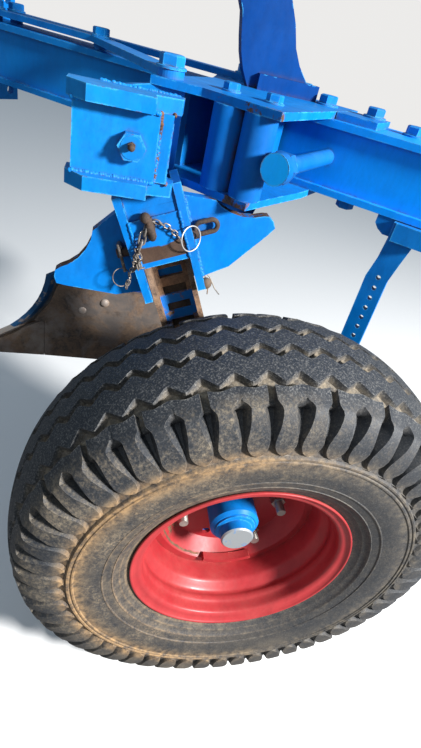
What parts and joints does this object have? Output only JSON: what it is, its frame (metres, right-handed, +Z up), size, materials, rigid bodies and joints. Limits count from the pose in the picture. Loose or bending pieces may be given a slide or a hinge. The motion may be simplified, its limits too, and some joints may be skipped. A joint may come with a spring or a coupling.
{
  "type": "reversible plough section with depth wheel",
  "caption": "Beam section of a reversible plough with a swinging depth wheel, a pair of moldboard bodies and a skimmer, held by its front flange.",
  "frame": {"origin": "centre of the front flange face on the beam centre line", "axes": "+X rearward along the beam, +Z up, +Y to the furrow side of the lower body"},
  "size_m": [1.5429, 1.1051, 1.6728],
  "materials": {
    "blue_paint": "worn gloss",
    "dark_blue_paint": "gloss",
    "red_paint": "dusty gloss",
    "rusty_steel": "rusty",
    "share_steel": "worn and rusty",
    "board_steel": "scoured",
    "zinc": "dull zinc",
    "tyre": "dusty rubber"
  },
  "bodies": {
    "frame": {"beam": "blue_paint", "front_flange": "blue_paint", "console_plates": "blue_paint", "console_tubes": "blue_paint", "console_webs": "blue_paint", "pivot_housing": "blue_paint", "pivot_pin": "blue_paint", "link_bars": "blue_paint", "link_bolts": "blue_paint", "console_bolts": "blue_paint", "leg_cheeks": "blue_paint", "upper_leg": "dark_blue_paint", "lower_leg": "dark_blue_paint", "upper_frog": "blue_paint", "lower_frog": "blue_paint", "upper_moldboard": "board_steel", "lower_moldboard": "board_steel", "upper_share": "share_steel", "lower_share": "share_steel", "upper_landside": "share_steel", "lower_landside": "share_steel", "skimmer_clamp": "blue_paint", "skimmer_stem": "dark_blue_paint", "skimmer_board": "board_steel"},
    "swing_arm": {"swing_boss": "blue_paint", "swing_arm": "blue_paint", "stop_horns": "blue_paint", "leg_sleeve": "blue_paint", "wheel_leg": "rusty_steel", "stub_axle": "blue_paint", "height_pin": "rusty_steel", "cross_pin": "rusty_steel"},
    "wheel": {"wheel_hub": "blue_paint", "hub_cap": "blue_paint", "wheel_studs": "zinc", "wheel_disc": "red_paint", "wheel_rim": "red_paint", "tyre": "tyre"}
  },
  "joints": [
    {"name": "arm_swing", "type": "hinge", "parent": "frame", "child": "swing_arm", "pos_m": [0.93478, -0.53119, 0], "axis": [-0.6225, 0.7826, 0], "range_deg": [0, 225.8]},
    {"name": "wheel_spin", "type": "hinge", "parent": "swing_arm", "child": "wheel", "pos_m": [1.15, -0.36, -0.65], "axis": [-0.6225, 0.7826, 0], "continuous": true}
  ]
}
